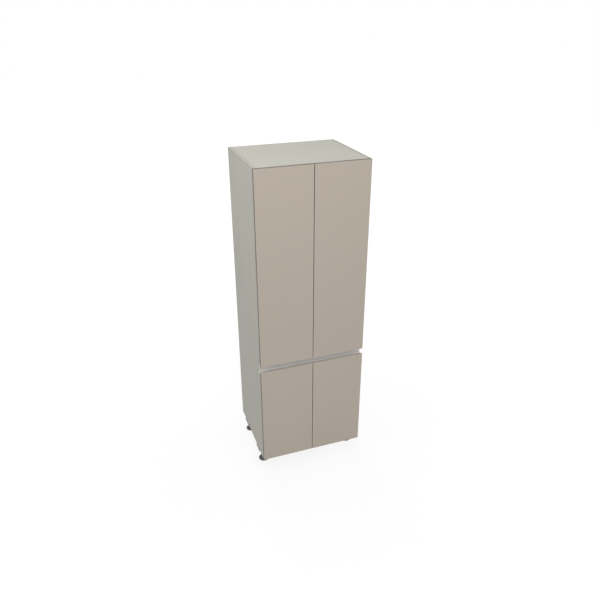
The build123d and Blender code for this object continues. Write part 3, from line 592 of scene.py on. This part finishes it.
def makeFootDisc(look):
    radius, low, high = look["discRadius"], look["discHeight"], look["domeHeight"]
    soft, perScallop = look["edgeRound"], look["sidesPerScallop"]
    rings = [(look["hollowShare"] * radius, look["hollowDepth"]), (look["hollowLip"] * radius, 0)]
    rings += [(radius - soft, 0), (radius, soft)]
    start, end = radius - look["edgeInset"] * soft, look["stemRadius"] + look["neckGap"]
    rings += [(radius, low - soft), (start, low)]
    for step in range(1, look["domeSteps"] + 1):
        share = step / look["domeSteps"]
        bulge = look["domeBulge"] * 4 * share * (1 - share)
        rings.append((start + (end - start) * share, low + (high - low) * share + bulge))
    sides = look["scallops"] * perScallop
    disc = turnUp("footDisc", rings, sides)

    def turnShare(point):
        return math.atan2(point.y, point.x) / (2 * math.pi) * sides

    def inScallop(point):
        onSpoke = round(turnShare(point)) % perScallop == 0
        return onSpoke and point.xy.length > radius - look["scallopReach"] * soft

    beginShaping(disc, "VERT")
    pickCorners(inScallop)
    inward = 1 - look["scallopDepth"] / radius
    bpy.ops.transform.resize(value=(inward, inward, 1), center_override=(0, 0, 0))
    endShaping()

    def onRib(middle, normal):
        between = abs(turnShare(middle) % perScallop - perScallop / 2) < 1
        inside = end + look["ribMargin"] < middle.xy.length < start - look["ribMargin"]
        return between and inside and normal.z > look["ribFacing"]

    beginShaping(disc)
    pickFaces(onRib)
    bpy.ops.mesh.extrude_region_shrink_fatten(
        TRANSFORM_OT_shrink_fatten={"value": look["ribHeight"]}
    )
    endShaping()
    return disc


def makeFootStem(look):
    crest, pitch, top = look["stemRadius"], look["threadPitch"], look["stemTop"]
    root = crest - look["threadDepth"]
    turns = int((top - look["domeHeight"] + look["stemSink"]) / pitch) - 1
    bottom = top - (turns + 1) * pitch
    # a plane merged to one corner, from which the thread's outline is drawn and screwed up
    bpy.ops.object.select_all(action="DESELECT")
    bpy.ops.mesh.primitive_plane_add(size=0.001, location=(root, 0, bottom))
    stem = bpy.context.object
    stem.name = "footStem"
    settle(stem)
    beginShaping(stem, "VERT")
    bpy.ops.mesh.select_all(action="SELECT")
    bpy.ops.mesh.merge(type="CENTER")
    outline = [(0, look["rootShare"]), (crest - root, look["flankShare"])]
    outline += [(0, look["crestShare"]), (root - crest, look["flankShare"])]
    for outward, up in outline:
        step = (outward, 0, up * pitch)
        bpy.ops.mesh.extrude_vertices_move(TRANSFORM_OT_translate={"value": step})
    bpy.ops.object.mode_set(mode="OBJECT")
    screw = stem.modifiers.new("thread", "SCREW")
    screw.screw_offset = pitch
    screw.iterations = turns
    screw.steps = look["threadSteps"]
    screw.render_steps = look["threadSteps"]
    bpy.ops.object.modifier_apply(modifier=screw.name)
    beginShaping(stem, "EDGE")
    bpy.ops.mesh.select_all(action="SELECT")
    bpy.ops.mesh.remove_doubles(threshold=look["threadMerge"])
    middle = (bottom + top) / 2
    for capAt in (bottom, top):
        mesh = bmesh.from_edit_mesh(stem.data)
        for edge in mesh.edges:
            upper = (edge.verts[0].co.z + edge.verts[1].co.z) / 2 > middle
            edge.select_set(edge.is_boundary and upper == (capAt == top))
        bmesh.update_edit_mesh(stem.data)
        bpy.ops.mesh.extrude_edges_move()
        inset = (look["capInset"], look["capInset"], 0)
        bpy.ops.transform.resize(value=inset, center_override=(0, 0, capAt))
        bpy.ops.mesh.extrude_edges_move()
        bpy.ops.transform.resize(value=(0, 0, 1), center_override=(0, 0, capAt))
        bpy.ops.mesh.select_all(action="SELECT")
        bpy.ops.mesh.remove_doubles(threshold=shapingLook["mergeDistance"])
    endShaping()
    return stem


firstFoot = joinUp("firstFoot", [makeFootDisc(footLook), makeFootStem(footLook)])
for footName in ("foot_front_left", "foot_front_right", "foot_back_left", "foot_back_right"):
    low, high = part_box(footName)
    middle = (low + high) / 2
    foot = copyTo(firstFoot, footName + "_turned", (middle.x, middle.y, low.z))
    finishPiece(foot, "dark_plastic", footName, footName)
bpy.data.objects.remove(firstFoot)
print("feet turned")

# Screws with cross recesses: the head's seat at the origin, the tip up.
screwLook = {
    "pan": {"head": 0.00375, "headHeight": 0.0024, "shank": 0.00175, "length": 0.011, "tip": 0.002},
    "plate": {"head": 0.004, "headHeight": 0.002, "shank": 0.0025, "length": 0.0122, "tip": 0.0},
    "arm": {"head": 0.0035, "headHeight": 0.0016, "shank": 0.002, "length": 0.0057, "tip": 0.0},
    "headProfile": ((0.5, 1), (0.72, 0.94), (0.9, 0.74), (0.985, 0.42), (1, 0.12), (0.98, 0)),
    "endStep": 0.0003,
    "endShare": 0.86,
    "pointShare": 0.08,
    "recessLength": 0.58,
    "recessWidth": 0.15,
    "recessDepth": 0.62,
    "recessTaper": (0.42, 0.7, 1),
    "plateHeadOver": 0.0075,
    "twistStep": 37,
    "sides": 24,
}


def makeScrew(name, size, look):
    head, rise = size["head"], size["headHeight"]
    shank, length, tip = size["shank"], size["length"], size["tip"]
    rings = [(wide * head, -up * rise) for wide, up in look["headProfile"]]
    rings += [(shank, 0.0), (shank, length - tip - look["endStep"])]
    rings.append((look["endShare"] * shank, length - tip))
    if tip:
        rings.append((look["pointShare"] * shank, length))
    screw = turnUp(name, rings, look["sides"])
    across, wide = look["recessLength"] * head * 2, look["recessWidth"] * head * 2
    deep = look["recessDepth"] * rise
    for angle in (0, 90):
        bpy.ops.object.select_all(action="DESELECT")
        bpy.ops.mesh.primitive_cube_add(size=1, location=(0, 0, -rise))
        blade = bpy.context.object
        blade.scale = (across, wide, 2 * deep)
        settle(blade)
        beginShaping(blade)
        pickFaces(lambda middle, normal: normal.z > 0.5)
        bpy.ops.transform.resize(value=look["recessTaper"], center_override=(0, 0, deep - rise))
        endShaping()
        blade.rotation_euler = Euler((0, 0, math.radians(angle)))
        settle(blade)
        carve(screw, blade)
        bpy.data.objects.remove(blade)
    return screw


panScrew = makeScrew("panScrew", screwLook["pan"], screwLook)
plateScrew = makeScrew("plateScrew", screwLook["plate"], screwLook)
armScrew = makeScrew("armScrew", screwLook["arm"], screwLook)


def fitScrews(nodeName, body, chooseScrew):
    # a screw on each solid of the node; chooseScrew gives the screw, its seat and its turn
    placed = []
    for number, (low, high) in enumerate(solidBoxes(nodeName)):
        screw, seat, turn = chooseScrew(low, high)
        twist = math.radians(screwLook["twistStep"] * number % 90)
        turned = copyTo(screw, "screw", (0, 0, 0), (0, 0, twist))
        turned.location = seat
        turned.rotation_euler = Euler(turn)
        settle(turned)
        placed.append(turned)
    piece = joinUp(nodeName + "_recessed", placed)
    finishPiece(piece, "zinc_steel", body, nodeName)


def underPanel(low, high):
    seat = ((low.x + high.x) / 2, (low.y + high.y) / 2, low.z + screwLook["pan"]["headHeight"])
    return panScrew, seat, (0, 0, 0)


def intoDoor(low, high):
    seat = ((low.x + high.x) / 2, high.y - screwLook["pan"]["headHeight"], (low.z + high.z) / 2)
    return panScrew, seat, (math.radians(90), 0, 0)


def intoSide(low, high):
    large = high.y - low.y > screwLook["plateHeadOver"]
    screw, kind = (plateScrew, "plate") if large else (armScrew, "arm")
    inward = screwLook[kind]["headHeight"]
    onLeft = low.x + high.x < 0
    seatX = high.x - inward if onLeft else low.x + inward
    turn = (0, math.radians(-90 if onLeft else 90), 0)
    return screw, (seatX, (low.y + high.y) / 2, (low.z + high.z) / 2), turn


fitScrews("panel_screws", "carcass", underPanel)
fitScrews("hinge_screws", "carcass", intoSide)
for leaf in ("lower_left", "lower_right", "upper_left", "upper_right"):
    fitScrews(leaf + "_cup_screws", leaf + "_leaf", intoDoor)
for spare in (panScrew, plateScrew, armScrew):
    bpy.data.objects.remove(spare)
print("screws fitted")

# The camera stands where the photograph was taken from.
cameraLook = {
    "place": (-1.2208, -3.5275, 3.1118),
    "turn": (63.244, 0.147, -19.388),
    "lens": 34.755,
    "sensor": 36.0,
}
cameraData = bpy.data.cameras.new("camera")
cameraData.lens = cameraLook["lens"]
cameraData.sensor_width = cameraLook["sensor"]
camera = bpy.data.objects.new("camera", cameraData)
camera.location = cameraLook["place"]
camera.rotation_euler = Euler([math.radians(angle) for angle in cameraLook["turn"]])
bpy.context.collection.objects.link(camera)
bpy.context.scene.camera = camera

# Pale floor, soft lights and an even sky; what the camera sees of them is white.
studioLook = {
    "floorSize": 24.0,
    "floorTone": 0.7,
    "floorRoughness": 0.9,
    "floorWhite": 0.8,
    "floorGlow": 1.08,
    "shadowReach": 3.0,
    "sky": 0.34,
    "aimAt": (0.0, 0.0, 1.2),
    "lamps": {
        "overhead": {"place": (0.2, -2.6, 4.8), "size": 2.4, "power": 42.0},
        "above": {"place": (0.0, 1.0, 4.8), "size": 2.4, "power": 18.0},
        "byCamera": {"place": (-0.6, -5.0, 2.6), "size": 3.0, "power": 60.0},
        "left": {"place": (-2.5, -0.5, 3.8), "size": 1.8, "power": 32.5},
        "right": {"place": (4.2, 0.4, 1.2), "size": 2.0, "power": 50.0},
        "behind": {"place": (0.0, 4.6, 1.2), "size": 0.6, "power": 100.0},
    },
}
bpy.ops.object.select_all(action="DESELECT")
bpy.ops.mesh.primitive_plane_add(size=studioLook["floorSize"], location=(0, 0, 0))
floor = bpy.context.object
floor.name = "floor"
floorColour = (studioLook["floorTone"],) * 3 + (1.0,)
floorPaint = Paint(
    "paleFloor", Base_Color=floorColour, Roughness=studioLook["floorRoughness"]
)
glowValues = {"Color": (1, 1, 1, 1), "Strength": studioLook["floorGlow"]}
glow = floorPaint.add("ShaderNodeEmission", values=glowValues)
lit = Wire(floorPaint, floorPaint.shader.outputs[0])
x, y, z = floorPaint.axes()
far = ((x * x + y * y) * (1 / studioLook["shadowReach"] ** 2)).clamped()
white = far * (1 - studioLook["floorWhite"]) + studioLook["floorWhite"]
shown = floorPaint.add(
    "ShaderNodeMixShader", values={0: floorPaint.lookedAt() * white, 1: lit, 2: glow}
)
floorPaint.feed("Material Output", "Surface", shown)
floor.data.materials.append(floorPaint.material)
floor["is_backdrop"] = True

world = bpy.data.worlds.new("studio")
world.use_nodes = True
bpy.context.scene.world = world
sky = Tree(world.node_tree)
world.node_tree.nodes["Background"].inputs["Color"].default_value = (1, 1, 1, 1)
level = studioLook["sky"]
sky.feed("Background", "Strength", sky.lookedAt() * (1 - level) + level)

for lampName, lampLook in studioLook["lamps"].items():
    lamp = bpy.data.lights.new(lampName, "AREA")
    lamp.size = lampLook["size"]
    lamp.energy = lampLook["power"]
    lampObject = bpy.data.objects.new(lampName, lamp)
    lampObject.location = lampLook["place"]
    aim = Vector(studioLook["aimAt"]) - Vector(lampLook["place"])
    lampObject.rotation_euler = aim.to_track_quat("-Z", "Y").to_euler()
    bpy.context.collection.objects.link(lampObject)

bpy.context.scene.view_settings.view_transform = "Standard"
print("studio set")
